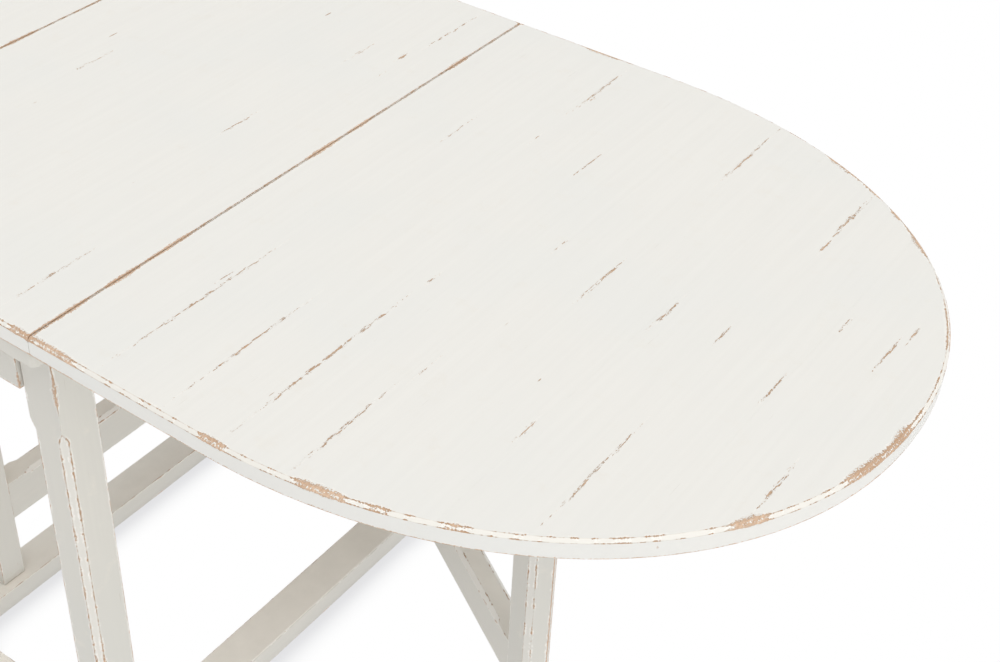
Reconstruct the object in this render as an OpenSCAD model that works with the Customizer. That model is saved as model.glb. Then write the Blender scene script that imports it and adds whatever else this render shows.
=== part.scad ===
// Gateleg drop-leaf table: a narrow fixed centre on a sledge-type frame, two
// D-shaped leaves, two swinging gates and a drawer in each end.
// Millimetres. X runs across the hinges, Y along them, Z up; the origin is on
// the floor under the middle of the table.

/* [Top] */
// Height of the top surface above the floor
table_h = 760; // [730:1:790]
// Thickness of the top and of the leaves
top_t = 21; // [18:1:24]
// Width of the fixed centre, from one hinge line to the other
centre_w = 446; // [430:1:480]
// Depth of the top along the hinges
top_depth = 800; // [780:1:840]
// How far a leaf reaches out from its hinge line
leaf_l = 705; // [660:1:710]
// Straight part of the leaf's edge before the curve starts
leaf_straight = 216; // [160:1:260]
// Fullness of the curve: 2 is an ellipse, and more is squarer
leaf_fullness = 2.1; // [2:0.05:2.4]
// Worn chamfer along the upper edges
edge_chamfer = 3.2; // [1:0.1:4]

/* [Frame] */
// Side of a square leg
leg_w = 48; // [44:1:52]
// Width of a floor rail, which stands a little proud of the legs
floor_rail_w = 53; // [50:1:56]
// Height of a floor rail
floor_rail_h = 30; // [26:1:34]
// Distance from a hinge line to the outer face of the legs
leg_inset_x = 27; // [26:0.5:32]
// Distance from the end of the top to the outer face of the legs
leg_inset_y = 40; // [36:1:60]
// Height of the side aprons
apron_h = 107; // [95:1:115]
// Size of the stopped chamfers on the end faces of legs and gate legs
stop_chamfer = 6.8; // [4:0.1:9]

/* [Gates] */
// Distance from a gate's pivot to the middle of its leg
gate_r = 436; // [420:1:450]
// How far an open gate stands out from its closed place, in degrees
gate_open = 59; // [45:1:70]
// Thickness of the gate's leg and of its pivot post
gate_t = 36; // [32:1:36]
// Width of the gate's leg
gate_leg_w = 47; // [42:1:55]

/* [Drawers] */
// Height of a drawer front
drawer_front_h = 83; // [80:1:84]
// How far a drawer front stands proud of the legs
drawer_proud = 4; // [2:0.5:6]
// Depth of a drawer box
drawer_depth = 318; // [280:1:330]

/* [Hidden] */

$fn = 48;
eps = 0.01;
paint = [0.89, 0.88, 0.85];
shaded_paint = [0.82, 0.82, 0.79];
bare_wood = [0.76, 0.62, 0.46];
brass = [0.55, 0.47, 0.30];

// Main planes
hinge_x = centre_w / 2;
half_depth = top_depth / 2;
under_top = table_h - top_t;
leg_out_x = hinge_x - leg_inset_x;
leg_in_x = leg_out_x - leg_w;
leg_out_y = half_depth - leg_inset_y;
leg_in_y = leg_out_y - leg_w;
leg_mid_x = leg_out_x - leg_w / 2;
leg_mid_y = leg_out_y - leg_w / 2;
apron_z = under_top - apron_h;

// Boards of the top and of a leaf, counted outwards from the hinge
joint_gap = 0.4;
joint_ease = 0.7;
centre_seams = [-60, 112];
leaf_seams = [0, 168, 309, 442, 585, leaf_l];
outline_step = 2.5;

// Batten under each end of the top
batten_w = 26;
batten_t = 21;
batten_setback = 3;
batten_corner = 8;

// Side aprons and the pockets for the gate legs
apron_t = 25;
apron_out_x = leg_out_x - 5;
apron_in_x = apron_out_x - apron_t;
tenon_l = 20;
tenon_t = 10;
tenon_play = 0.1;
pocket_x = hinge_x - 46.5;
pocket_play = 3;

// Gate pivot and parts
pivot_x = hinge_x - 46;
pivot_y = gate_r / 2 - 2;
gate_gap = 1;
half_lap = 0.5;
gate_rail_t = 33;
gate_rail_h = 62;
gate_rail_low_z = 130;
gate_rail_top_z = apron_z - 76;
gate_rail_chamfer = 5;
gate_tenon_l = 12;
gate_tenon_t = 11;
gate_pin_r = 5;
gate_pin_fit = 0.05;
gate_pin_grip = 30;
gate_pin_depth = 22;
gate_stop_l = 40;
gate_stop_w = 20;
gate_stop_h = 18;

// Drawer, its rails and its runners
end_rail_t = 40;
bearer_t = 30;
bearer_h = 18;
drawer_gap = 2;
drawer_front_t = 18;
drawer_front_z = apron_z + 1;
drawer_side_t = 12;
drawer_side_h = 60;
drawer_side_x = leg_in_x - 7;
drawer_bottom_t = 5;
drawer_groove = 5;
drawer_lift = 1;
runner_in_x = drawer_side_x - 18;
knob_r = 15;
knob_l = 24;
knob_spigot_r = 4;
knob_spigot_l = 12;

// Back-flap hinges under the joint
hinge_y = [-280, 0, 280];
knuckle_r = 4;
knuckle_l = 10;
hinge_pin_r = 2;
hinge_pin_fit = 0.05;
flap_t = 1.6;
flap_reach = 32;
flap_l = 5 * knuckle_l;
hinge_axis_z = under_top - knuckle_r - 0.4;
screw_r = 1.75;
screw_head_r = 3.4;
screw_l = 15;
screw_x = 22;
screw_y = 15;

// ---- shared shapes ----

// A rectangular bar given by its lowest and highest corners
module bar(low, high) {
    translate(low) cube(high - low);
}

// Half-breadth of the leaf's outline, brought in by an inset
function leaf_point(angle, inset) = [
    leaf_straight + (leaf_l - inset - leaf_straight) * pow(abs(cos(angle)), 2 / leaf_fullness),
    (half_depth - inset) * sign(sin(angle)) * pow(abs(sin(angle)), 2 / leaf_fullness)
];

// D-shaped outline of a leaf, with its hinge line at x = 0
module leaf_outline(inset) {
    start = joint_gap + min(inset, joint_ease);
    polygon(concat(
        [[start, -half_depth + inset]],
        [for (a = [-90 : outline_step : 90]) leaf_point(a, inset)],
        [[start, half_depth - inset]]
    ));
}

// Whole leaf with a chamfered rim and its side at the hinges barely eased; the
// hinge line is at x = 0 and the underside at z = 0
module leaf_blank() {
    hull() {
        linear_extrude(top_t - edge_chamfer) leaf_outline(0);
        translate([0, 0, top_t - eps]) linear_extrude(eps) leaf_outline(edge_chamfer);
    }
}

// One board of the right leaf, number 0 being next to the hinge
module leaf_board(number) {
    difference() {
        translate([hinge_x, 0, under_top]) intersection() {
            leaf_blank();
            bar([leaf_seams[number], -half_depth - 1, -1],
                [leaf_seams[number + 1], half_depth + 1, top_t + 1]);
        }
        if (number == 0) leaf_screws();
    }
}

// Fixed centre of the top: chamfered ends, and sides barely eased along the hinges
module centre_blank() {
    w = hinge_x - joint_gap;
    c = edge_chamfer;
    hull() {
        bar([-w, -half_depth, under_top], [w, half_depth, table_h - c]);
        bar([-w + joint_ease, -half_depth + c, table_h - c],
            [w - joint_ease, half_depth - c, table_h]);
    }
}

// Board of the fixed centre between two seams
module centre_board(x_low, x_high) {
    difference() {
        intersection() {
            centre_blank();
            bar([x_low, -half_depth - 1, under_top - 1], [x_high, half_depth + 1, table_h + 1]);
        }
        centre_screws();
    }
}

// Cutter for a stopped chamfer on an arris along z, from z1 to z2. It stands on
// the arris with the timber towards +x and +y, and has long sloping ends.
module stopped_chamfer(z1, z2, c) {
    d = c / sqrt(2);
    slope = 3;
    rotate([0, 0, 45]) rotate([90, 0, 0])
        translate([0, 0, -2 * c]) linear_extrude(4 * c)
            polygon([[-1, z1 - slope], [d, z1 + slope * d],
                     [d, z2 - slope * d], [-1, z2 + slope]]);
}

// Stopped chamfers on both arrises of the +x face of a post of size a by b,
// which is centred on the z axis
module chamfer_face(a, b, z1, z2, c) {
    for (m = [0, 1]) mirror([0, m, 0])
        translate([a / 2, -b / 2, 0]) mirror([1, 0, 0]) stopped_chamfer(z1, z2, c);
}

// Copies for the left side are the right side turned half round
module half_turn() {
    rotate([0, 0, 180]) children();
}

// ---- frame ----

// Leg in the far right corner; the others are mirrored from it
module leg() {
    translate([leg_mid_x, leg_mid_y, 0]) difference() {
        union() {
            bar([-leg_w / 2, -leg_w / 2, floor_rail_h], [leg_w / 2, leg_w / 2, under_top]);
            bar([-12, -12, 8], [12, 12, floor_rail_h]);
        }
        // Both arrises of the face towards the end of the table
        rotate([0, 0, 90])
            chamfer_face(leg_w, leg_w, floor_rail_h + 60, apron_z - 37, stop_chamfer);
        translate([-leg_mid_x, -leg_mid_y, 0]) leg_mortises();
    }
}

module leg_mortises() {
    apron_tenon(tenon_play);
    end_rail_tenon(tenon_play);
    bearer_tenon(tenon_play);
}

// Tenon of a side apron in the far right leg
module apron_tenon(play) {
    mid = (leg_out_x + leg_in_x) / 2 + 6.5;
    bar([mid - tenon_t / 2 - play, leg_in_y - eps, apron_z + 10 - play],
        [mid + tenon_t / 2 + play, leg_in_y + tenon_l + play, under_top - 10 + play]);
}

// Tenons of the two rails around the drawer in the far right leg
module end_rail_tenon(play) {
    bar([leg_in_x - eps, leg_mid_y - 6 - play, under_top - 17 - play],
        [leg_in_x + 17 + play, leg_mid_y + 6 + play, under_top - 5 + play]);
}

module bearer_tenon(play) {
    bar([leg_in_x - eps, leg_mid_y - 10 - play, apron_z + 4 - play],
        [leg_in_x + 17 + play, leg_mid_y + 2 + play, apron_z + 14 + play]);
}

module side_apron() {
    difference() {
        union() {
            bar([apron_in_x, -leg_in_y, apron_z], [apron_out_x, leg_in_y, under_top]);
            for (m = [0, 1]) mirror([0, m, 0]) apron_tenon(0);
        }
        // Pocket that takes the upper half-lap of the closed gate's leg
        gate_pocket(apron_z - 1, under_top + 1);
        translate([pivot_x, pivot_y, apron_z - 1])
            cylinder(r = gate_pin_r + gate_pin_fit, h = gate_pin_depth + 2);
        for (y = [-150, 90]) button_groove(y);
    }
}

// Room for a closed gate's leg, cut into the right apron and floor rail
module gate_pocket(z1, z2) {
    y = pivot_y - gate_r;
    reach = gate_leg_w / 2 + pocket_play;
    bar([pocket_x, y - reach, z1], [hinge_x, y + reach, z2]);
}

// Groove in the right apron for the tongue of a top button
module button_groove(y) {
    bar([apron_in_x - 1, y - 23, under_top - 16], [apron_in_x + 6, y + 23, under_top - 10]);
}

module top_button(y) {
    bar([apron_in_x - 24, y - 20, under_top - 16.5], [apron_in_x - 0.2, y + 20, under_top]);
    bar([apron_in_x - 1, y - 20, under_top - 15.8], [apron_in_x + 5.5, y + 20, under_top - 10.2]);
}

module top_batten() {
    y1 = half_depth - batten_setback - batten_w;
    reach = hinge_x - 2;
    r = batten_corner;
    translate([0, 0, under_top - batten_t]) linear_extrude(batten_t) union() {
        translate([-reach, y1]) square([2 * reach, batten_w - r]);
        translate([-reach + r, y1]) square([2 * (reach - r), batten_w]);
        for (s = [-1, 1]) translate([s * (reach - r), y1 + batten_w - r]) circle(r);
    }
}

// Rail over a drawer, between the far legs
module end_top_rail() {
    bar([-leg_in_x, leg_out_y - 2 - end_rail_t, under_top - batten_t],
        [leg_in_x, leg_out_y - 2, under_top]);
    for (m = [0, 1]) mirror([m, 0, 0]) end_rail_tenon(0);
}

// Rail under a drawer, hidden behind the drawer front
module bearer_rail() {
    y = leg_out_y + drawer_proud - drawer_front_t - 1;
    bar([-leg_in_x, y - bearer_t, apron_z], [leg_in_x, y, apron_z + bearer_h]);
    for (m = [0, 1]) mirror([m, 0, 0]) bearer_tenon(0);
}

// L-shaped runner that carries and guides the drawers along one side
module drawer_runner() {
    bar([runner_in_x, -leg_in_y + 0.5, apron_z], [apron_in_x, leg_in_y - 0.5, apron_z + bearer_h]);
    bar([drawer_side_x + 1, -leg_in_y + 0.5, apron_z + bearer_h - eps],
        [apron_in_x, leg_in_y - 0.5, apron_z + bearer_h + 16]);
}

// Floor rail on the right, on which the legs and the gate's pivot post stand
module floor_rail() {
    over = (floor_rail_w - leg_w) / 2;
    difference() {
        bar([leg_in_x - over, -leg_out_y - over, 0],
            [leg_out_x + over, leg_out_y + over, floor_rail_h]);
        gate_pocket(-1, floor_rail_h + 1);
        translate([pivot_x, pivot_y, floor_rail_h - gate_pin_depth])
            cylinder(r = gate_pin_r + gate_pin_fit, h = gate_pin_depth + 1);
        for (s = [-1, 1]) {
            translate([leg_mid_x, s * leg_mid_y, 8 - tenon_play])
                bar([-12 - tenon_play, -12 - tenon_play, 0],
                    [12 + tenon_play, 12 + tenon_play, floor_rail_h]);
        }
        for (m = [0, 1]) mirror([0, m, 0]) stretcher_tenon(tenon_play);
        // Small chamfer along the outer upper arris
        translate([leg_out_x + over, 0, floor_rail_h]) rotate([0, 45, 0])
            cube([2.4, 2 * leg_out_y - 40, 2.4], center = true);
    }
}

module stretcher_tenon(play) {
    x = leg_in_x - (floor_rail_w - leg_w) / 2;
    bar([x - eps, leg_mid_y - 14 - play, 9 - play], [x + 12 + play, leg_mid_y + 14 + play, 21 + play]);
}

// Stretcher between the two floor rails at the far end
module floor_stretcher() {
    x = leg_in_x - (floor_rail_w - leg_w) / 2;
    bar([-x, leg_mid_y - 22, 0], [x, leg_mid_y + 22, floor_rail_h]);
    for (m = [0, 1]) mirror([m, 0, 0]) stretcher_tenon(0);
}

// ---- gates: pivot on the z axis, gate along +x, its outer side when closed is +y ----

module gate_place() {
    translate([pivot_x, pivot_y, 0]) rotate([0, 0, -90]) children();
}

module open_gate_place() {
    translate([pivot_x, pivot_y, 0]) rotate([0, 0, gate_open - 90]) children();
}

module gate_post() {
    z1 = floor_rail_h + gate_gap;
    z2 = apron_z - gate_gap;
    difference() {
        bar([-gate_t / 2, -gate_t / 2, z1], [gate_t / 2, gate_t / 2, z2]);
        gate_rail_tenons(tenon_play);
        translate([0, 0, z1 - 1]) cylinder(r = gate_pin_r, h = gate_pin_grip + 1);
        translate([0, 0, z2 - gate_pin_grip]) cylinder(r = gate_pin_r, h = gate_pin_grip + 1);
    }
}

module gate_leg() {
    difference() {
        translate([gate_r, 0, 0]) difference() {
            bar([-gate_leg_w / 2, -gate_t / 2, 0], [gate_leg_w / 2, gate_t / 2, under_top - gate_gap]);
            // Half-laps that pass the floor rail and the apron
            bar([-gate_leg_w, -gate_t, -1], [gate_leg_w, half_lap, floor_rail_h + 2]);
            bar([-gate_leg_w, -gate_t, apron_z - 2], [gate_leg_w, half_lap, under_top]);
            chamfer_face(gate_leg_w, gate_t, floor_rail_h + 60, apron_z - 37, stop_chamfer);
        }
        gate_rail_tenons(tenon_play);
    }
}

module gate_rail(z) {
    x1 = gate_t / 2;
    x2 = gate_r - gate_leg_w / 2;
    difference() {
        union() {
            bar([x1, -gate_rail_t / 2, z], [x2, gate_rail_t / 2, z + gate_rail_h]);
            gate_rail_tenon(z, 0);
        }
        // Stopped chamfers along the two upper arrises
        for (s = [0, 1]) mirror([0, s, 0])
            translate([0, -gate_rail_t / 2, z + gate_rail_h]) rotate([0, 90, 0])
                stopped_chamfer(x1 + 30, x2 - 30, gate_rail_chamfer);
    }
}

module gate_rail_tenon(z, play) {
    bar([gate_t / 2 - gate_tenon_l - play, -gate_tenon_t / 2 - play, z + 10 - play],
        [gate_r - gate_leg_w / 2 + gate_tenon_l + play, gate_tenon_t / 2 + play,
         z + gate_rail_h - 10 + play]);
}

module gate_rail_tenons(play) {
    gate_rail_tenon(gate_rail_low_z, play);
    gate_rail_tenon(gate_rail_top_z, play);
}

module gate_pins() {
    z1 = floor_rail_h - gate_pin_depth + 0.5;
    z2 = apron_z + gate_pin_depth - 0.5;
    translate([0, 0, z1])
        cylinder(r = gate_pin_r, h = floor_rail_h + gate_gap + gate_pin_grip - z1);
    translate([0, 0, apron_z - gate_gap - gate_pin_grip])
        cylinder(r = gate_pin_r, h = z2 - apron_z + gate_gap + gate_pin_grip);
}

// Block under the leaf that the open gate's leg comes to rest against
module gate_stop() {
    bar([gate_r - gate_stop_l / 2, gate_t / 2 + 0.3, under_top - gate_stop_h],
        [gate_r + gate_stop_l / 2, gate_t / 2 + 0.3 + gate_stop_w, under_top]);
}

// ---- hinges, with the pin along y at the right hinge line ----

module hinge_line() {
    translate([hinge_x, 0, hinge_axis_z]) children();
}

// Knuckles number first, first + 2 and so on of one hinge, drilled for the pin
module knuckles(first) {
    for (i = [first : 2 : 4])
        translate([0, -flap_l / 2 + i * knuckle_l, 0]) rotate([-90, 0, 0])
            cylinder(r = knuckle_r, h = knuckle_l - 0.2);
}

// One flap towards +x; its plate lies against the underside of the top
module hinge_flap(first) {
    z = under_top - hinge_axis_z;
    difference() {
        union() {
            knuckles(first);
            bar([knuckle_r + 0.8, -flap_l / 2, z - flap_t], [flap_reach, flap_l / 2, z]);
            for (i = [first : 2 : 4])
                bar([1.5, -flap_l / 2 + i * knuckle_l, z - flap_t],
                    [knuckle_r + 1, -flap_l / 2 + (i + 1) * knuckle_l - 0.2, z]);
        }
        translate([0, -flap_l, 0]) rotate([-90, 0, 0])
            cylinder(r = hinge_pin_r + hinge_pin_fit, h = 2 * flap_l);
        for (y = [-screw_y, screw_y]) translate([screw_x, y, z - flap_t]) flap_screw();
    }
}

// Countersunk screw, head down
module flap_screw() {
    rotate_extrude()
        polygon([[0, 0], [screw_head_r, 0], [screw_r, flap_t], [screw_r, screw_l], [0, screw_l]]);
}

module hinge_screws() {
    z = under_top - hinge_axis_z - flap_t;
    for (h = hinge_y, y = [-screw_y, screw_y]) translate([screw_x, h + y, z]) flap_screw();
}

module leaf_flaps() {
    hinge_line() for (h = hinge_y) translate([0, h, 0]) hinge_flap(1);
}

module leaf_screws() {
    hinge_line() hinge_screws();
}

module centre_flaps_one_side() {
    hinge_line() for (h = hinge_y) translate([0, h, 0]) mirror([1, 0, 0]) hinge_flap(0);
}

module centre_screws_one_side() {
    hinge_line() mirror([1, 0, 0]) hinge_screws();
}

module centre_screws() {
    centre_screws_one_side();
    half_turn() centre_screws_one_side();
}

module hinge_pins_one_side() {
    hinge_line() for (h = hinge_y)
        translate([0, h - flap_l / 2 - 0.5, 0]) rotate([-90, 0, 0])
            cylinder(r = hinge_pin_r, h = flap_l + 1);
}

// ---- drawer at the far end; the near one is turned half round ----

module drawer_front() {
    difference() {
        bar([-leg_in_x + drawer_gap, leg_out_y + drawer_proud - drawer_front_t, drawer_front_z],
            [leg_in_x - drawer_gap, leg_out_y + drawer_proud, drawer_front_z + drawer_front_h]);
        knob_place() cylinder(r = knob_spigot_r + tenon_play, h = 2 * knob_spigot_l, center = true);
    }
}

drawer_box_z = apron_z + bearer_h + drawer_lift;
drawer_box_y2 = leg_out_y + drawer_proud - drawer_front_t;
drawer_box_y1 = drawer_box_y2 - drawer_depth;

module drawer_sides() {
    for (m = [0, 1]) mirror([m, 0, 0]) difference() {
        bar([drawer_side_x - drawer_side_t, drawer_box_y1, drawer_box_z],
            [drawer_side_x, drawer_box_y2, drawer_box_z + drawer_side_h]);
        drawer_bottom_panel(0);
    }
}

module drawer_back() {
    x = drawer_side_x - drawer_side_t;
    bar([-x, drawer_box_y1, drawer_box_z + drawer_groove + drawer_bottom_t],
        [x, drawer_box_y1 + drawer_side_t, drawer_box_z + drawer_side_h]);
}

module drawer_bottom_panel(play) {
    x = drawer_side_x - drawer_side_t + drawer_groove - play;
    bar([-x, drawer_box_y1, drawer_box_z + drawer_groove],
        [x, drawer_box_y2 - play, drawer_box_z + drawer_groove + drawer_bottom_t]);
}

module knob_place() {
    translate([0, leg_out_y + drawer_proud, drawer_front_z + drawer_front_h / 2])
        rotate([-90, 0, 0]) children();
}

// Turned knob in the middle of a drawer front, with a spigot glued into it
module drawer_knob() {
    knob_place() rotate_extrude() difference() {
            union() {
                translate([0, -knob_spigot_l]) square([knob_spigot_r, knob_l]);
                square([knob_r * 0.5, knob_l * 0.6]);
                square([knob_r * 0.62, 3]);
                translate([0, knob_l * 0.45]) square([knob_r - 4, knob_l * 0.55]);
                translate([knob_r - 4, knob_l * 0.45 + 4]) circle(4);
                translate([0, knob_l * 0.45 + 4]) square([knob_r, knob_l * 0.55 - 8]);
                translate([knob_r - 4, knob_l - 4]) circle(4);
            }
            translate([-knob_r, -1]) square([knob_r, knob_l + 2]);
    }
}

// ---- nodes ----

color(paint) centre_board(-hinge_x, centre_seams[0]);  // top_board_left
color(paint) centre_board(centre_seams[0], centre_seams[1]);  // top_board_middle
color(paint) centre_board(centre_seams[1], hinge_x);  // top_board_right
color(shaded_paint) half_turn() top_batten();  // top_batten_near
color(shaded_paint) top_batten();  // top_batten_far

color(paint) half_turn() leg();  // leg_near_left
color(paint) mirror([0, 1, 0]) leg();  // leg_near_right
color(paint) mirror([1, 0, 0]) leg();  // leg_far_left
color(paint) leg();  // leg_far_right

color(shaded_paint) half_turn() side_apron();  // side_apron_left
color(shaded_paint) side_apron();  // side_apron_right
color(shaded_paint) half_turn() end_top_rail();  // end_top_rail_near
color(shaded_paint) end_top_rail();  // end_top_rail_far
color(bare_wood) half_turn() bearer_rail();  // bearer_rail_near
color(bare_wood) bearer_rail();  // bearer_rail_far
color(bare_wood) {  // drawer_runners
        drawer_runner();
        half_turn() drawer_runner();
    }
color(shaded_paint) half_turn() floor_rail();  // floor_rail_left
color(shaded_paint) floor_rail();  // floor_rail_right
color(shaded_paint) half_turn() floor_stretcher();  // floor_stretcher_near
color(shaded_paint) floor_stretcher();  // floor_stretcher_far
color(bare_wood) for (y = [-150, 90]) {  // top_buttons
        top_button(y);
        half_turn() top_button(y);
    }

color(brass) {  // centre_hinge_flaps
        centre_flaps_one_side();
        half_turn() centre_flaps_one_side();
    }
color(brass) centre_screws();  // centre_hinge_screws
color(brass) {  // hinge_pins
        hinge_pins_one_side();
        half_turn() hinge_pins_one_side();
    }

color(paint) leaf_board(0);  // right_leaf_board_1
color(paint) leaf_board(1);  // right_leaf_board_2
color(paint) leaf_board(2);  // right_leaf_board_3
color(paint) leaf_board(3);  // right_leaf_board_4
color(paint) leaf_board(4);  // right_leaf_board_5
color(brass) leaf_flaps();  // right_leaf_hinge_flaps
color(brass) leaf_screws();  // right_leaf_hinge_screws
color(bare_wood) open_gate_place() gate_stop();  // right_gate_stop

color(paint) half_turn() leaf_board(0);  // left_leaf_board_1
color(paint) half_turn() leaf_board(1);  // left_leaf_board_2
color(paint) half_turn() leaf_board(2);  // left_leaf_board_3
color(paint) half_turn() leaf_board(3);  // left_leaf_board_4
color(paint) half_turn() leaf_board(4);  // left_leaf_board_5
color(brass) half_turn() leaf_flaps();  // left_leaf_hinge_flaps
color(brass) half_turn() leaf_screws();  // left_leaf_hinge_screws
color(bare_wood) half_turn() open_gate_place() gate_stop();  // left_gate_stop

color(paint) open_gate_place() gate_post();  // right_gate_post
color(paint) open_gate_place() gate_leg();  // right_gate_leg
color(paint) open_gate_place() gate_rail(gate_rail_top_z);  // right_gate_upper_rail
color(paint) open_gate_place() gate_rail(gate_rail_low_z);  // right_gate_lower_rail
color(bare_wood) open_gate_place() gate_pins();  // right_gate_pins

color(paint) half_turn() gate_place() gate_post();  // left_gate_post
color(paint) half_turn() gate_place() gate_leg();  // left_gate_leg
color(paint) half_turn() gate_place() gate_rail(gate_rail_top_z);  // left_gate_upper_rail
color(paint) half_turn() gate_place() gate_rail(gate_rail_low_z);  // left_gate_lower_rail
color(bare_wood) half_turn() gate_place() gate_pins();  // left_gate_pins

color(paint) half_turn() drawer_front();  // near_drawer_front
color(bare_wood) half_turn() drawer_sides();  // near_drawer_sides
color(bare_wood) half_turn() drawer_back();  // near_drawer_back
color(bare_wood) half_turn() drawer_bottom_panel(tenon_play);  // near_drawer_bottom
color(paint) half_turn() drawer_knob();  // near_drawer_knob

color(paint) drawer_front();  // far_drawer_front
color(bare_wood) drawer_sides();  // far_drawer_sides
color(bare_wood) drawer_back();  // far_drawer_back
color(bare_wood) drawer_bottom_panel(tenon_play);  // far_drawer_bottom
color(paint) drawer_knob();  // far_drawer_knob
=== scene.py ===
"""Looks of the gateleg drop-leaf table: off-white paint rubbed through to the wood.

All lengths are metres in the table's own frame: x across the hinges, y along
them, z up, with the origin on the floor under the middle of the table.
"""

import math
import random

import bpy
from mathutils import Matrix, Vector


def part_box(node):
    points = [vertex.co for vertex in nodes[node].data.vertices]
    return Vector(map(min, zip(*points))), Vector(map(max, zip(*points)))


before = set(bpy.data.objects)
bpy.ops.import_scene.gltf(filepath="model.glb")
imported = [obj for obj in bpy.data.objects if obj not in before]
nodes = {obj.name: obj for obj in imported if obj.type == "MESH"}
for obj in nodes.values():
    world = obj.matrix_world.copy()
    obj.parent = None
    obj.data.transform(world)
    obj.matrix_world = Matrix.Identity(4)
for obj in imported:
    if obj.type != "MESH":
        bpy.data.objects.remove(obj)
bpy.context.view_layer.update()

# ---------------------------------------------------------------- main sizes

TABLE_H = 0.760
TOP_T = 0.021
HINGE_X = 0.223
JOINT_GAP = 0.0004
HALF_DEPTH = 0.400
LEAF_L = 0.705
LEAF_STRAIGHT = 0.216
LEAF_FULLNESS = 2.1
TOP_CHAMFER = 0.0032
JOINT_EASE = 0.0007
LEG_MID = (0.172, 0.336)
LEG_HALF = 0.024
STOP_CHAMFER = 0.0068
LEG_CHAMFER_Z = (0.090, 0.595)
CHAMFER_RUN_OUT = 3.0
GATE_PIVOT = (0.177, 0.216)
GATE_R = 0.436
GATE_OPEN = math.radians(59)
GATE_LEG_HALF = (0.0235, 0.018)
RAIL_HALF = 0.0165
RAIL_H = 0.062
RAIL_LOW_Z = 0.130
RAIL_TOP_Z = 0.556
RAIL_CHAMFER = 0.005
RAIL_CHAMFER_X = (0.048, 0.3825)
# A rail's faces run on past its ends here, since its ends are hidden in the joints
RAIL_X = (-0.1, 0.6)
GATE_POST_HALF = 0.018
GATE_POST_Z = (0.031, 0.631)

# ------------------------------------------------------------------- colours

PAINT = (0.855, 0.845, 0.810, 1)
PAINT_THIN = (0.805, 0.765, 0.690, 1)
# Frame paint: a little yellower than the top's, and darker as painted shade for the frame
# under the top
FRAME_PAINT_WITH_SHADE = (0.715, 0.695, 0.640, 1)
PAINT_CHAMFER = (0.760, 0.738, 0.685, 1)
# Lighter, warmer paint for faces that look up: dust, and painted light from above
DUST_AND_LIGHT_PAINT = (0.960, 0.925, 0.860, 1)
PRIMER = (0.940, 0.920, 0.875, 1)
WOOD_LIGHT = (0.760, 0.560, 0.410, 1)
WOOD_DARK = (0.540, 0.360, 0.240, 1)
WOOD_LINE = (0.460, 0.285, 0.165, 1)
BARE_LIGHT = (0.480, 0.325, 0.195, 1)
BARE_DARK = (0.270, 0.160, 0.085, 1)
GRIME = (0.420, 0.375, 0.300, 1)
BRASS = (0.460, 0.330, 0.150, 1)
BRASS_TARNISHED = (0.160, 0.120, 0.070, 1)
FLOOR_WHITE = (1.0, 1.0, 1.0, 1)
FLOOR_SHADE = (0.760, 0.760, 0.775, 1)
LAMP_WHITE = (1.0, 0.99, 0.97)

# -------------------------------------------------------- cracks and rubs in the top

CRACK_SEED = 5
LINES_PER_BOARD = 2
LONG_CRACK_CHANCE = 0.6
LONG_CRACK = {"length": (0.10, 0.30), "stray": 0.003,
              "half_width": (0.0016, 0.0032), "fullness": (0.60, 0.85)}
SHORT_PER_LINE = 2
SHORT_START = (-0.85, 0.75)
SHORT_CRACK = {"length": (0.020, 0.090), "stray": 0.008,
               "half_width": (0.0012, 0.0028), "fullness": (0.50, 1.00)}

RUB_SEED = 3
CORNER_RUB_RADIUS = 0.009
CORNER_RUB_REACH = 0.0025
HINGE_RUBS = 8
HINGE_RUB_RADIUS = (0.014, 0.040)
HINGE_RUB_REACH = (0.0010, 0.0024)
RIM_RUBS = 22
RIM_RUB_RADIUS = (0.010, 0.042)
RIM_RUB_REACH = (0.0007, 0.0026)
STRAIGHT_SHARE = 0.6


def rim_y(x):
    """Half the depth of the top at x, where the leaf's outline narrows it."""
    along = max(0.0, x - HINGE_X - LEAF_STRAIGHT) / (LEAF_L - LEAF_STRAIGHT)
    return HALF_DEPTH * (1 - along ** LEAF_FULLNESS) ** (1 / LEAF_FULLNESS)


def rim_point(share):
    """Place on the rim: below 0 on its straight part, and 0 to 1 round the curve."""
    straight = HINGE_X + LEAF_STRAIGHT
    if share <= 0:
        return straight * (1 + share / STRAIGHT_SHARE), HALF_DEPTH
    turn = share * math.pi / 2
    power = 2 / LEAF_FULLNESS
    x = straight + (LEAF_L - LEAF_STRAIGHT) * math.sin(turn) ** power
    return x, HALF_DEPTH * math.cos(turn) ** power


def crack(draw, kind, x, first, last):
    """One crack near x: its x, first y, last y, half width and fullness."""
    stray = draw.uniform(-kind["stray"], kind["stray"])
    half_width = draw.uniform(*kind["half_width"])
    fullness = draw.uniform(*kind["fullness"])
    return (x + stray, min(first, last), max(first, last), half_width, fullness)


def cracks_on_line(draw, x):
    """Cracks along one line of the grain: long ones from the rim, short ones between."""
    end = rim_y(x)
    cracks = []
    for side in (-1, 1):
        if draw.random() < LONG_CRACK_CHANCE:
            first = side * end
            length = draw.uniform(*LONG_CRACK["length"]) * end / HALF_DEPTH
            cracks.append(crack(draw, LONG_CRACK, x, first, first - side * length))
    for _ in range(SHORT_PER_LINE):
        first = draw.uniform(*SHORT_START) * end
        length = draw.uniform(*SHORT_CRACK["length"])
        cracks.append(crack(draw, SHORT_CRACK, x, first, first + length))
    return cracks


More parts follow.
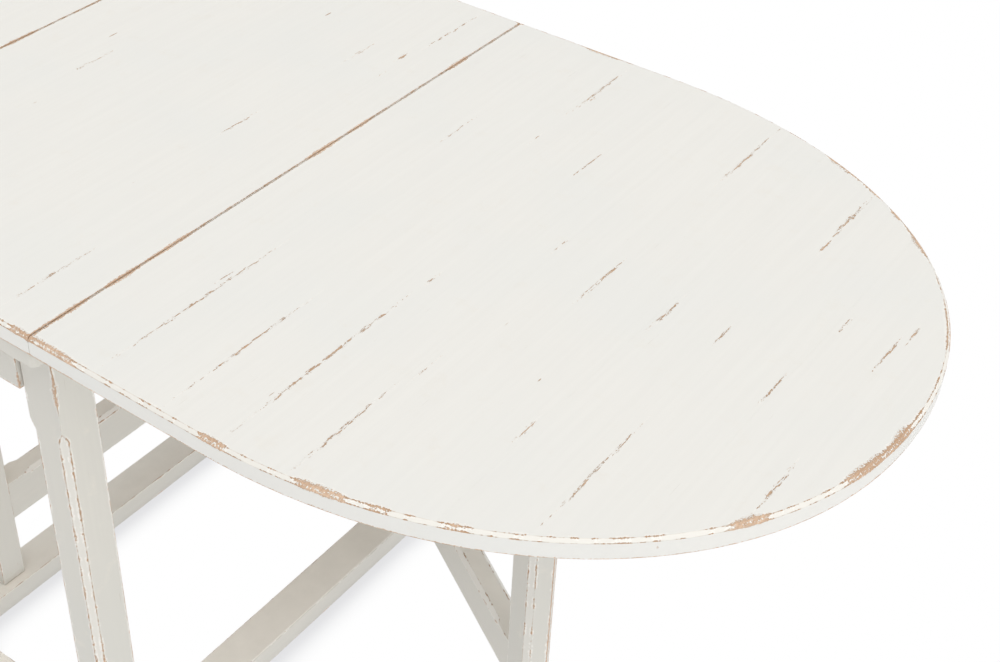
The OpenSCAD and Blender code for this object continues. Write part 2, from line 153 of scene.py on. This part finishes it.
def crack_places():
    """Cracks in the right half of the top, along the seams and middles of its boards."""
    draw = random.Random(CRACK_SEED)
    boards = ["top_board_right"] + ["right_leaf_board_%d" % n for n in range(1, 6)]
    cracks = []
    for board in boards:
        low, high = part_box(board)
        for line in range(LINES_PER_BOARD):
            x = low[0] + (high[0] - low[0]) * line / LINES_PER_BOARD
            on_hinge_line = line == 0 and abs(x - HINGE_X) < 0.01
            if not on_hinge_line:
                cracks.extend(cracks_on_line(draw, x))
    return cracks


def rub_places():
    """Rubbed places on the right half's rim and hinge line: x, y, radius, reach."""
    draw = random.Random(RUB_SEED)
    rubs = []
    for side in (-1, 1):
        rubs.append((HINGE_X, side * HALF_DEPTH, CORNER_RUB_RADIUS, CORNER_RUB_REACH))
    for _ in range(HINGE_RUBS):
        rubs.append((HINGE_X, draw.uniform(-HALF_DEPTH, HALF_DEPTH),
                     draw.uniform(*HINGE_RUB_RADIUS), draw.uniform(*HINGE_RUB_REACH)))
    for index in range(RIM_RUBS):
        side = -1 if index % 2 else 1
        x, y = rim_point(draw.uniform(-STRAIGHT_SHARE, 1.0))
        rubs.append((x, side * y, draw.uniform(*RIM_RUB_RADIUS),
                     draw.uniform(*RIM_RUB_REACH)))
    return rubs


# ------------------------------------------------------------ shader helpers


class Shader:
    """Node tree of a material or a world. Each method adds a node and returns its output."""

    def __init__(self, name, library=bpy.data.materials):
        self.owner = library.new(name)
        self.owner.use_nodes = True
        self.tree = self.owner.node_tree
        self.tree.nodes.clear()

    def put(self, node, index, value):
        if isinstance(value, bpy.types.NodeSocket):
            self.tree.links.new(value, node.inputs[index])
        else:
            node.inputs[index].default_value = value

    def math(self, operation, *values):
        node = self.tree.nodes.new("ShaderNodeMath")
        node.operation = operation
        for index, value in enumerate(values):
            self.put(node, index, value)
        return node.outputs[0]

    def add(self, a, b):
        return self.math("ADD", a, b)

    def subtract(self, a, b):
        return self.math("SUBTRACT", a, b)

    def multiply(self, a, b):
        return self.math("MULTIPLY", a, b)

    def lowest(self, values):
        result = values[0]
        for value in values[1:]:
            result = self.math("MINIMUM", result, value)
        return result

    def highest(self, values):
        result = values[0]
        for value in values[1:]:
            result = self.math("MAXIMUM", result, value)
        return result

    def vector(self, operation, *values):
        node = self.tree.nodes.new("ShaderNodeVectorMath")
        node.operation = operation
        for index, value in enumerate(values):
            self.put(node, index, value)
        scalar = operation in ("LENGTH", "DISTANCE", "DOT_PRODUCT")
        return node.outputs[1] if scalar else node.outputs[0]

    def parts(self, vector):
        node = self.tree.nodes.new("ShaderNodeSeparateXYZ")
        self.put(node, 0, vector)
        return node.outputs[0], node.outputs[1], node.outputs[2]

    def join(self, x, y, z):
        node = self.tree.nodes.new("ShaderNodeCombineXYZ")
        for index, value in enumerate((x, y, z)):
            self.put(node, index, value)
        return node.outputs[0]

    def turned(self, vector, angle):
        node = self.tree.nodes.new("ShaderNodeVectorRotate")
        node.rotation_type = "Z_AXIS"
        node.inputs["Angle"].default_value = angle
        self.put(node, 0, vector)
        return node.outputs[0]

    def noise(self, where, scale, detail=2.0, roughness=0.55, offset=0.0):
        """Noise from 0 to 1 about 0.5; scale is in features per metre."""
        node = self.tree.nodes.new("ShaderNodeTexNoise")
        node.inputs["Scale"].default_value = scale
        node.inputs["Detail"].default_value = detail
        node.inputs["Roughness"].default_value = roughness
        moved = self.vector("ADD", where, (offset, 0.37 * offset, 0.71 * offset))
        self.put(node, 0, moved)
        return node.outputs[0]

    def step(self, value, low, high):
        """0 below low, 1 above high, smooth between. low may exceed high."""
        node = self.tree.nodes.new("ShaderNodeMapRange")
        node.interpolation_type = "SMOOTHSTEP"
        flip = low > high
        for index, limit in enumerate((min(low, high), max(low, high)), 1):
            node.inputs[index].default_value = limit
        node.inputs[3].default_value = 1.0 if flip else 0.0
        node.inputs[4].default_value = 0.0 if flip else 1.0
        self.put(node, 0, value)
        return node.outputs[0]

    def band(self, value, low, full_low, full_high, high):
        """1 between full_low and full_high, falling to 0 at low and at high."""
        return self.multiply(self.step(value, low, full_low),
                             self.step(value, high, full_high))

    def mix(self, amount, a, b):
        node = self.tree.nodes.new("ShaderNodeMix")
        node.data_type = "RGBA"
        self.put(node, 0, amount)
        self.put(node, 6, a)
        self.put(node, 7, b)
        return node.outputs[2]

    def position(self):
        return self.tree.nodes.new("ShaderNodeTexCoord").outputs["Object"]

    def second_lowest(self, distances):
        """Distance to the nearest arris: on a face its own distance is the lowest."""
        low = self.math("MINIMUM", distances[0], distances[1])
        second = self.math("MAXIMUM", distances[0], distances[1])
        for distance in distances[2:]:
            second = self.math("MINIMUM", second, self.math("MAXIMUM", low, distance))
            low = self.math("MINIMUM", low, distance)
        return second

    def finish(self, colour, roughness, height, height_scale, specular=0.35):
        """Principled surface with a bump; height is 0 to 1, height_scale metres."""
        bump = self.tree.nodes.new("ShaderNodeBump")
        bump.inputs["Strength"].default_value = 1.0
        bump.inputs["Distance"].default_value = height_scale
        self.put(bump, bump.inputs.find("Height"), height)
        surface = self.tree.nodes.new("ShaderNodeBsdfPrincipled")
        self.put(surface, surface.inputs.find("Base Color"), colour)
        self.put(surface, surface.inputs.find("Roughness"), roughness)
        self.put(surface, surface.inputs.find("Normal"), bump.outputs[0])
        surface.inputs["Specular IOR Level"].default_value = specular
        output = self.tree.nodes.new("ShaderNodeOutputMaterial")
        self.tree.links.new(surface.outputs[0], output.inputs[0])
        return self.owner


def along_grain(sh, where, axis, stretch=0.08):
    """Coordinates pressed together along the grain, so that patterns stretch."""
    factors = [1.0, 1.0, 1.0]
    factors[axis] = stretch
    return sh.vector("MULTIPLY", where, tuple(factors))


# ------------------------------------------------------- distances to arrises


def chamfer_plane(sh, a, b, size):
    """Distance to the 45 degree face that takes size off the arris of faces a and b."""
    total = sh.add(a, b)
    return sh.multiply(sh.subtract(total, size), math.sqrt(0.5))


def stopped_chamfer(sh, face_u, face_v, size, along, reach):
    """Distance to a chamfer that slopes out to the arris at both ends of its reach."""
    middle = (reach[0] + reach[1]) / 2
    depth = size * math.sqrt(0.5)
    half = (reach[1] - reach[0]) / 2 - CHAMFER_RUN_OUT * depth
    tilt = 1 / math.hypot(1, CHAMFER_RUN_OUT)
    beyond = sh.subtract(sh.math("ABSOLUTE", sh.subtract(along, middle)), half)
    beyond = sh.math("MAXIMUM", beyond, 0.0)
    slope = chamfer_plane(sh, face_u, face_v, size)
    slope = sh.add(slope, sh.multiply(beyond, tilt))
    corner = sh.multiply(sh.add(face_u, face_v), math.sqrt(0.5))
    return sh.math("MINIMUM", slope, corner)


def box_faces(sh, where, low, high):
    """Distances to the six faces of a box."""
    x, y, z = sh.parts(where)
    faces = []
    for value, first, last in zip((x, y, z), low, high):
        faces.append(sh.subtract(value, first))
        faces.append(sh.subtract(last, value))
    return faces


def post_edges(sh, out, side, z, half_out, half_side, chamfer, z_range):
    """Arrises of a post whose outer face has a stopped chamfer on both sides.

    out is measured from its axis towards that face and side across it.
    """
    face_in = sh.add(half_out, out)
    face_u = sh.subtract(half_out, out)
    face_v = sh.subtract(half_side, sh.math("ABSOLUTE", side))
    slope = stopped_chamfer(sh, face_u, face_v, chamfer, z, z_range)
    edge = sh.second_lowest([face_u, face_v, slope, face_in])
    on_chamfer = sh.step(slope, 0.0006, 0.0001)
    return edge, on_chamfer


def top_edges(sh, where):
    """Nearness to the arrises of the whole top, and whether a point is on its chamfer."""
    x, y, z = sh.parts(where)
    across = sh.math("ABSOLUTE", x)
    along = sh.math("ABSOLUTE", y)
    from_top = sh.subtract(TABLE_H, z)
    from_under = sh.subtract(z, TABLE_H - TOP_T)
    from_hinge = sh.math("ABSOLUTE", sh.subtract(across, HINGE_X))
    from_hinge = sh.subtract(from_hinge, JOINT_GAP)
    reach = LEAF_L - LEAF_STRAIGHT
    curved = sh.math("MAXIMUM", sh.subtract(across, HINGE_X + LEAF_STRAIGHT), 0.0)
    u = sh.multiply(curved, 1 / reach)
    v = sh.multiply(along, 1 / HALF_DEPTH)
    power_u = sh.math("POWER", u, LEAF_FULLNESS)
    power_v = sh.math("POWER", v, LEAF_FULLNESS)
    level = sh.math("POWER", sh.add(power_u, power_v), 1 / LEAF_FULLNESS)
    slope_u = sh.multiply(sh.math("POWER", u, LEAF_FULLNESS - 1), 1 / reach)
    slope_v = sh.multiply(sh.math("POWER", v, LEAF_FULLNESS - 1), 1 / HALF_DEPTH)
    squares = sh.add(sh.multiply(slope_u, slope_u), sh.multiply(slope_v, slope_v))
    slope = sh.math("MAXIMUM", sh.math("SQRT", squares), 0.2)
    from_rim = sh.math("DIVIDE", sh.subtract(1.0, level), slope)
    rim_chamfer = chamfer_plane(sh, from_rim, from_top, TOP_CHAMFER)
    lean = math.atan2(JOINT_EASE, TOP_CHAMFER)
    hinge_ease = sh.add(sh.multiply(from_hinge, math.cos(lean)),
                        sh.multiply(from_top, math.sin(lean)))
    hinge_ease = sh.subtract(hinge_ease, JOINT_EASE * math.cos(lean))
    edge = sh.second_lowest([from_top, from_under, from_rim, rim_chamfer, hinge_ease])
    on_chamfer = sh.step(rim_chamfer, 0.0005, 0.0001)
    on_side = sh.step(z, TABLE_H - TOP_CHAMFER, TABLE_H - TOP_CHAMFER - 0.001)
    # The upright side of the rim wears least
    edge = sh.multiply(edge, sh.add(1.0, sh.multiply(on_side, 1.5)))
    return edge, on_chamfer


# -------------------------------------------------------------------- paint


def wood(sh, where, axis, light, dark):
    grain = along_grain(sh, where, axis, 0.05)
    fine = sh.noise(grain, 420, 3.0, 0.6)
    broad = sh.noise(grain, 60, 2.0, 0.5, 3.1)
    amount = sh.add(sh.multiply(fine, 0.75), sh.multiply(broad, 0.45))
    return sh.mix(sh.step(amount, 0.42, 0.82), dark, light)


def arris_wear(sh, where, edge, line, patch, extra, grit, seed):
    """Bare wood along the arrises, with a ragged outline.

    Returns where it is bare, where primer shows beside it, and how wide the wear is.
    """
    breaks = sh.noise(where, 62, 3.0, 0.65, seed + 7.7)
    places = sh.noise(where, 15, 1.0, 0.5, seed + 1.3)
    wear = sh.multiply(sh.step(breaks, 0.46, 0.60), 0.0009 * line)
    rubbed = sh.multiply(sh.step(places, 0.60, 0.78), 0.0024 * patch)
    wear = sh.add(wear, sh.multiply(rubbed, sh.step(breaks, 0.36, 0.5)))
    if extra is not None:
        wear = sh.add(wear, extra)
    uneven = sh.add(0.12, sh.multiply(sh.step(grit, 0.34, 0.66), 1.25))
    gap = sh.subtract(edge, sh.multiply(wear, uneven))
    bare = sh.step(gap, 0.0002, -0.0002)
    halo = sh.multiply(sh.step(gap, 0.0018, 0.0004), sh.step(wear, 0.0002, 0.0008))
    return bare, halo, wear


def small_chips(sh, where, axis, seed):
    """Small chips here and there, longer along the grain."""
    spots = sh.noise(along_grain(sh, where, axis, 0.16), 120, 2.0, 0.6, seed + 11.9)
    groups = sh.noise(where, 9, 0.0, 0.5, seed + 5.2)
    return sh.multiply(sh.step(spots, 0.745, 0.765), sh.step(groups, 0.5, 0.6))


def brushed_coat(sh, where, axis, tone, aged, seed):
    """Paint brushed along the grain, cooler in places, thinner and scratched in others.

    Returns its colour, its brush marks and its mottling.
    """
    brush = sh.noise(along_grain(sh, where, axis, 0.04), 190, 3.0, 0.6, seed + 8.8)
    clouds = sh.noise(where, 5.5, 2.0, 0.5, seed + 6.1)
    mottle = sh.noise(where, 34, 4.0, 0.65, seed + 9.4)
    hairs = sh.noise(along_grain(sh, where, axis, 0.03), 620, 2.0, 0.55, seed + 13.0)
    shade = tuple(0.982 * c for c in tone[:3]) + (1,)
    cool = (0.955 * tone[0], 0.975 * tone[1], 0.990 * tone[2], 1)
    colour = sh.mix(sh.step(brush, 0.3, 0.75), shade, tone)
    colour = sh.mix(sh.multiply(sh.step(clouds, 0.38, 0.72), 0.45), colour, cool)
    thin = sh.multiply(sh.step(mottle, 0.56, 0.80), 0.24 * aged)
    colour = sh.mix(thin, colour, PAINT_THIN)
    scratch = sh.multiply(sh.step(hairs, 0.70, 0.80), sh.step(mottle, 0.48, 0.60))
    colour = sh.mix(sh.multiply(scratch, 0.20 * aged), colour, GRIME)
    return colour, brush, mottle


def painted(sh, where, axis, edge, tone=PAINT, line=1.0, patch=1.0, extra=None,
            streaks=None, on_chamfer=None, primed=0.0, dust_and_light=None, seed=0.0, chips=1.0,
            aged=2.0):
    """Off-white paint over brown wood.

    edge is the distance to the nearest arris. line and patch scale the worn line
    along the arrises and the worn places on them, and extra adds metres of wear.
    streaks is above 0 inside a crack and dust_and_light is 1 on top faces, where dust lies
    and a lighter colour is painted for the light from above. primed is how much of the
    white primer shows on a chamfer. aged scales thin paint and scratches.
    """
    grit = sh.noise(where, 520, 3.0, 0.7, seed + 2.9)
    bare, halo, wear = arris_wear(sh, where, edge, line, patch, extra, grit, seed)
    scattered = sh.multiply(small_chips(sh, where, axis, seed), chips)
    bare = sh.math("MAXIMUM", bare, scattered)
    # A narrow worn line shows darker wood than a wide worn place
    narrow = sh.step(wear, 0.0016, 0.0008)
    if streaks is not None:
        ragged = sh.noise(along_grain(sh, where, axis, 0.13), 620, 3.0, 0.7, seed + 4.4)
        inside = sh.add(streaks, sh.multiply(sh.subtract(ragged, 0.5), 3.2))
        inside = sh.add(inside, sh.multiply(sh.subtract(grit, 0.5), 1.6))
        present = sh.step(streaks, 0.0, 0.12)
        chip = sh.multiply(sh.step(inside, 0.46, 0.66), present)
        bare = sh.math("MAXIMUM", bare, chip)
        near_chip = sh.multiply(sh.step(inside, 0.05, 0.4), present)
        halo = sh.math("MAXIMUM", halo, sh.multiply(near_chip, 0.6))
        narrow = sh.mix(present, narrow, sh.step(inside, 1.05, 0.70))

    colour, brush, mottle = brushed_coat(sh, where, axis, tone, aged, seed)
    # Faces that look up get dust, and a lighter colour painted for the light from above
    if dust_and_light is not None:
        amount = sh.multiply(dust_and_light, sh.add(0.65, sh.multiply(mottle, 0.5)))
        colour = sh.mix(amount, colour, DUST_AND_LIGHT_PAINT)
    if on_chamfer is not None:
        halo = sh.math("MAXIMUM", halo, sh.multiply(on_chamfer, primed))
        colour = sh.mix(on_chamfer, colour, PAINT_CHAMFER)
    colour = sh.mix(halo, colour, PRIMER)
    timber = wood(sh, where, axis, WOOD_LIGHT, WOOD_DARK)
    timber = sh.mix(sh.multiply(narrow, 0.8), timber, WOOD_LINE)
    colour = sh.mix(bare, colour, timber)

    roughness = sh.add(0.44, sh.multiply(brush, 0.10))
    roughness = sh.add(roughness, sh.multiply(mottle, 0.08))
    roughness = sh.add(roughness, sh.multiply(bare, 0.24))
    height = sh.subtract(sh.add(0.5, sh.multiply(brush, 0.10)), sh.multiply(bare, 0.40))
    height = sh.add(height, sh.multiply(mottle, 0.06))
    height = sh.add(height, sh.multiply(halo, 0.04))
    return sh.finish(colour, roughness, height, 0.0008)


def half_turned_left(sh, where):
    """Same point, but points of the left half turned half round onto the right half."""
    x, y, z = sh.parts(where)
    on_left = sh.math("LESS_THAN", x, 0.0)
    sign = sh.subtract(1.0, sh.multiply(on_left, 2.0))
    return sh.join(sh.multiply(x, sign), sh.multiply(y, sign), z)


def spots_near(sh, where, places):
    """Greatest of the places' reaches at a point, fading out over each radius."""
    reaches = []
    for x, y, radius, reach in places:
        away = sh.vector("DISTANCE", where, (x, y, TABLE_H))
        fade = sh.step(away, radius, 0.4 * radius)
        reaches.append(sh.multiply(fade, reach))
    return sh.highest(reaches)


def streak_field(sh, where):
    """Fullness of each crack along its middle, falling to 0 at its outline."""
    wobble = sh.noise(along_grain(sh, where, 1, 0.3), 60, 2.0, 0.5, 17.0)
    x, y, z = sh.parts(where)
    x = sh.add(x, sh.multiply(sh.subtract(wobble, 0.5), 0.004))
    flat = sh.join(x, y, 0.0)
    cracks = []
    for across, first, last, half_width, fullness in crack_places():
        centre = (across, (first + last) / 2, 0.0)
        half_length = (last - first) / 2
        offset = sh.vector("SUBTRACT", flat, centre)
        scaled = sh.vector("MULTIPLY", offset, (1 / half_width, 1 / half_length, 0.0))
        depth = sh.subtract(1.0, sh.vector("LENGTH", scaled))
        cracks.append(sh.multiply(depth, fullness))
    inside = sh.math("MAXIMUM", sh.highest(cracks), 0.0)
    return sh.multiply(inside, sh.step(z, TABLE_H - 0.004, TABLE_H - 0.002))


def top_paint():
    """One coat over the centre and both leaves."""
    sh = Shader("paint_top")
    where = sh.position()
    edge, on_chamfer = top_edges(sh, where)
    matched = half_turned_left(sh, where)
    rubs = spots_near(sh, matched, rub_places())
    height = sh.parts(where)[2]
    lower_arris = sh.step(height, TABLE_H - TOP_T + 0.003, TABLE_H - TOP_T + 0.001)
    from_hinge = sh.subtract(sh.math("ABSOLUTE", sh.parts(where)[0]), HINGE_X)
    at_hinge = sh.step(sh.math("ABSOLUTE", from_hinge), 0.003, 0.0015)
    extra = sh.add(rubs, sh.multiply(lower_arris, 0.0018))
    extra = sh.add(extra, sh.multiply(at_hinge, 0.0005))
    return painted(sh, where, 1, edge, line=0.75, patch=0.35, extra=extra,
                   streaks=streak_field(sh, matched), on_chamfer=on_chamfer, primed=0.38,
                   aged=1.0)


def leg_paint():
    """The four legs, taken as one by their mirror planes."""
    sh = Shader("paint_legs")
    where = sh.position()
    x, y, z = sh.parts(where)
    out = sh.subtract(sh.math("ABSOLUTE", y), LEG_MID[1])
    side = sh.subtract(sh.math("ABSOLUTE", x), LEG_MID[0])
    edge, on_chamfer = post_edges(sh, out, side, z, LEG_HALF, LEG_HALF, STOP_CHAMFER,
                                  LEG_CHAMFER_Z)
    above = sh.subtract(z, LEG_CHAMFER_Z[1])
    above_stop = sh.band(above, 0.027, 0.050, 0.070, 0.095)
    at_stop = sh.band(above, -0.005, 0.005, 0.020, 0.030)
    outward = sh.multiply(sh.step(out, 0.0, 0.01), sh.step(side, 0.0, 0.01))
    foot = sh.multiply(sh.step(z, 0.30, 0.10), 1.6)
    inner_arris = sh.multiply(sh.step(out, -0.01, -0.02), 0.0005)
    extra = sh.add(sh.multiply(sh.multiply(above_stop, outward), 0.0010),
                   sh.multiply(sh.subtract(sh.add(foot, 1.0), at_stop), 0.0004))
    extra = sh.add(extra, inner_arris)
    return painted(sh, where, 2, edge, tone=FRAME_PAINT_WITH_SHADE, line=0.9, patch=0.5, extra=extra,
                   on_chamfer=on_chamfer, seed=20.0, chips=0.4)


def gate_position(sh, side):
    """Coordinates with the gate's pivot as origin and the gate along +x."""
    pivot = (GATE_PIVOT[0], GATE_PIVOT[1], 0.0)
    where = sh.position()
    if side == "right":
        centred = sh.vector("SUBTRACT", where, pivot)
        return sh.turned(centred, math.pi / 2 - GATE_OPEN)
    centred = sh.vector("ADD", where, pivot)
    return sh.turned(centred, -math.pi / 2)


def gate_leg_paint(side):
    sh = Shader("paint_gate_leg_" + side)
    where = gate_position(sh, side)
    x, y, z = sh.parts(where)
    out = sh.subtract(x, GATE_R)
    edge, on_chamfer = post_edges(sh, out, y, z, *GATE_LEG_HALF, STOP_CHAMFER,
                                  LEG_CHAMFER_Z)
    far_chamfer = sh.multiply(on_chamfer, sh.step(y, 0.0, 0.005))
    extra = sh.add(sh.multiply(far_chamfer, 0.0014), 0.0003)
    return painted(sh, where, 2, edge, tone=FRAME_PAINT_WITH_SHADE, line=0.75, patch=0.4, extra=extra,
                   on_chamfer=on_chamfer, seed=31.0, chips=0.4)


def gate_box_paint(side, piece, low, high, axis, chamfer=0.0):
    sh = Shader("paint_gate_" + piece + "_" + side)
    where = gate_position(sh, side)
    faces = box_faces(sh, where, low, high)
    on_chamfer = None
    dust_and_light = None
    if chamfer:
        # The top face: dust, and painted light from above
        dust_and_light = sh.step(faces[5], 0.0008, 0.0003)
        along = sh.parts(where)[0]
        cuts = [stopped_chamfer(sh, faces[5], face, chamfer, along, RAIL_CHAMFER_X)
                for face in faces[2:4]]
        faces.extend(cuts)
        on_chamfer = sh.step(sh.lowest(cuts), 0.0006, 0.0001)
    edge = sh.second_lowest(faces)
    return painted(sh, where, axis, edge, tone=FRAME_PAINT_WITH_SHADE, line=0.8, patch=0.1,
                   on_chamfer=on_chamfer, primed=1.0, dust_and_light=dust_and_light, seed=37.0 + low[2],
                   chips=0.3)


def longest_axis(low, high):
    """Axis along which a box is longest, which is the way of its grain."""
    lengths = list(high - low)
    return lengths.index(max(lengths))


def box_paint(node, line, patch, top_dust_and_light=False):
    """Paint for a piece that is nearly a box, with wear along its own arrises."""
    low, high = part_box(node)
    axis = longest_axis(low, high)
    sh = Shader("paint_" + node)
    where = sh.position()
    faces = box_faces(sh, where, low, high)
    # The top face: dust, and painted light from above
    dust_and_light = sh.step(faces[5], 0.0012, 0.0004) if top_dust_and_light else None
    edge = sh.second_lowest(faces)
    return painted(sh, where, axis, edge, tone=FRAME_PAINT_WITH_SHADE, line=line, patch=patch,
                   dust_and_light=dust_and_light, seed=50.0 + 3.0 * len(node) + 10 * low[0], chips=0.3)


def bare_wood(node):
    low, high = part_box(node)
    axis = longest_axis(low, high)
    sh = Shader("bare_" + node)
    where = sh.position()
    colour = wood(sh, where, axis, BARE_LIGHT, BARE_DARK)
    grain = sh.noise(along_grain(sh, where, axis, 0.04), 300, 3.0, 0.65)
    dirt = sh.noise(where, 20, 3.0, 0.6, 2.2)
    colour = sh.mix(sh.multiply(sh.step(dirt, 0.5, 0.8), 0.35), colour, GRIME)
    roughness = sh.add(0.62, sh.multiply(grain, 0.2))
    return sh.finish(colour, roughness, grain, 0.0005, 0.25)


def aged_brass():
    sh = Shader("aged_brass")
    where = sh.position()
    tarnish = sh.noise(where, 160, 4.0, 0.65)
    scratches = sh.noise(along_grain(sh, where, 1, 0.06), 1400, 2.0, 0.6)
    colour = sh.mix(sh.step(tarnish, 0.35, 0.7), BRASS, BRASS_TARNISHED)
    roughness = sh.add(0.32, sh.multiply(tarnish, 0.35))
    height = sh.add(sh.multiply(scratches, 0.4), sh.multiply(tarnish, 0.6))
    material = sh.finish(colour, roughness, height, 0.00012, 0.5)
    surface = next(n for n in sh.tree.nodes if n.type == "BSDF_PRINCIPLED")
    surface.inputs["Metallic"].default_value = 1.0
    return material


# ------------------------------------------------------- materials on pieces


def dress(piece, material, softness):
    """Gives a CAD piece its material and rounds its arrises by softness metres."""
    mesh = piece.data
    if "custom_normal" in mesh.attributes:
        mesh.attributes.remove(mesh.attributes["custom_normal"])
    for name in ("sharp_edge", "sharp_face"):
        if name in mesh.attributes:
            mesh.attributes.remove(mesh.attributes[name])
    mesh.shade_smooth()
    for slot in piece.material_slots:
        slot.material = material
    weld = piece.modifiers.new("weld", "WELD")
    weld.merge_threshold = 0.00001
    bevel = piece.modifiers.new("soft_arris", "BEVEL")
    bevel.width = softness
    bevel.segments = 3
    bevel.limit_method = "ANGLE"
    bevel.angle_limit = math.radians(28)
    bevel.use_clamp_overlap = True
    normals = piece.modifiers.new("flat_faces", "WEIGHTED_NORMAL")
    normals.mode = "FACE_AREA"
    normals.keep_sharp = True


def material_for(name, made):
    """Returns a node's material and the radius of its arrises."""
    if "hinge" in name:
        return made["brass"], 0.0002
    if name.startswith("top_board") or "leaf_board" in name:
        return made["top"], 0.00012
    if name.startswith("leg_"):
        return made["legs"], 0.0011
    if "_gate_" in name and "stop" not in name:
        side, piece = name.split("_gate_")
        if piece == "leg":
            return gate_leg_paint(side), 0.0011
        if piece == "post":
            low = (-GATE_POST_HALF, -GATE_POST_HALF, GATE_POST_Z[0])
            high = (GATE_POST_HALF, GATE_POST_HALF, GATE_POST_Z[1])
            return gate_box_paint(side, piece, low, high, 2), 0.0009
        if piece == "pins":
            return bare_wood(name), 0.0004
        low_z = RAIL_LOW_Z if piece == "lower_rail" else RAIL_TOP_Z
        low = (RAIL_X[0], -RAIL_HALF, low_z)
        high = (RAIL_X[1], RAIL_HALF, low_z + RAIL_H)
        return gate_box_paint(side, piece, low, high, 0, RAIL_CHAMFER), 0.0008
    if nodes[name].data.materials[0].name.startswith("bare_wood"):
        return bare_wood(name), 0.0006
    if name.startswith("floor_"):
        return box_paint(name, line=0.9, patch=0.6, top_dust_and_light=True), 0.0008
    if name.endswith("drawer_front"):
        return box_paint(name, line=1.6, patch=1.1), 0.0009
    return box_paint(name, line=0.3, patch=0.3), 0.0008


made = {"brass": aged_brass(), "top": top_paint(), "legs": leg_paint()}
for name, piece in sorted(nodes.items()):
    material, softness = material_for(name, made)
    dress(piece, material, softness)

# ------------------------------------------------------------ floor and light


def white_floor():
    """White studio floor that darkens only close to what stands on it."""
    mesh = bpy.data.meshes.new("studio_floor")
    reach = 30.0
    level = -0.0004
    corners = [(-reach, -reach, level), (reach, -reach, level),
               (reach, reach, level), (-reach, reach, level)]
    mesh.from_pydata(corners, [], [(0, 1, 2, 3)])
    floor = bpy.data.objects.new("studio_floor", mesh)
    bpy.context.scene.collection.objects.link(floor)
    sh = Shader("studio_floor")
    shade = sh.tree.nodes.new("ShaderNodeAmbientOcclusion")
    shade.samples = 16
    shade.inputs["Distance"].default_value = 0.055
    # Tilted to the far left, so that shade lies to the near right of each piece
    normal = sh.join(-0.40, 0.30, 0.87)
    sh.put(shade, shade.inputs.find("Normal"), normal)
    openness = sh.step(shade.outputs["AO"], 0.42, 0.90)
    colour = sh.mix(openness, FLOOR_SHADE, FLOOR_WHITE)
    glow = sh.tree.nodes.new("ShaderNodeEmission")
    sh.put(glow, 0, colour)
    glow.inputs["Strength"].default_value = 1.0
    output = sh.tree.nodes.new("ShaderNodeOutputMaterial")
    sh.tree.links.new(glow.outputs[0], output.inputs[0])
    mesh.materials.append(sh.owner)


def soft_sun(name, towards, strength, spread):
    """Light from far away in the direction given, as wide as spread degrees."""
    light = bpy.data.lights.new(name, "SUN")
    light.energy = strength
    light.angle = math.radians(spread)
    light.color = LAMP_WHITE
    lamp = bpy.data.objects.new(name, light)
    lamp.rotation_euler = Vector(towards).to_track_quat("Z", "Y").to_euler()
    bpy.context.scene.collection.objects.link(lamp)


def studio_world(overhead):
    """Dim sky that turns white along the horizon, so the floor has no visible end."""
    sh = Shader("studio", bpy.data.worlds)
    direction = sh.tree.nodes.new("ShaderNodeTexCoord").outputs["Generated"]
    height = sh.parts(direction)[2]
    near_horizon = sh.step(height, 0.30, 0.05)
    strength = sh.add(overhead, sh.multiply(near_horizon, 1.0 - overhead))
    background = sh.tree.nodes.new("ShaderNodeBackground")
    background.inputs[0].default_value = FLOOR_WHITE
    sh.put(background, 1, strength)
    output = sh.tree.nodes.new("ShaderNodeOutputWorld")
    sh.tree.links.new(background.outputs[0], output.inputs[0])
    bpy.context.scene.world = sh.owner


white_floor()
studio_world(0.27)
soft_sun("overhead", (0.15, -0.15, 1.0), 2.14, 70)
soft_sun("right_window", (1.0, -0.30, 0.55), 0.50, 40)

# -------------------------------------------------------------------- camera

CAMERA_AT = (1.226, -1.113, 1.706)
CAMERA_TURN = math.radians(-35.233)
CAMERA_DOWN = math.radians(36.976)
CAMERA_ROLL = math.radians(1.885)
CAMERA_LENS = 58.29
CAMERA_SHIFT = (0.030, -0.041)

forward = Vector((math.sin(CAMERA_TURN) * math.cos(CAMERA_DOWN),
                  math.cos(CAMERA_TURN) * math.cos(CAMERA_DOWN),
                  -math.sin(CAMERA_DOWN)))
level_right = Vector((math.cos(CAMERA_TURN), -math.sin(CAMERA_TURN), 0))
level_up = level_right.cross(forward)
right = level_right * math.cos(CAMERA_ROLL) + level_up * math.sin(CAMERA_ROLL)
up = level_up * math.cos(CAMERA_ROLL) - level_right * math.sin(CAMERA_ROLL)

camera_data = bpy.data.cameras.new("camera")
camera_data.sensor_width = 36
camera_data.lens = CAMERA_LENS
camera_data.shift_x = CAMERA_SHIFT[0]
camera_data.shift_y = CAMERA_SHIFT[1]
camera_data.clip_end = 100
camera = bpy.data.objects.new("camera", camera_data)
turn = Matrix((right, up, -forward)).transposed()
camera.matrix_world = Matrix.Translation(CAMERA_AT) @ turn.to_4x4()
bpy.context.scene.collection.objects.link(camera)
bpy.context.scene.camera = camera
bpy.context.scene.view_settings.view_transform = "Standard"

bpy.context.view_layer.update()
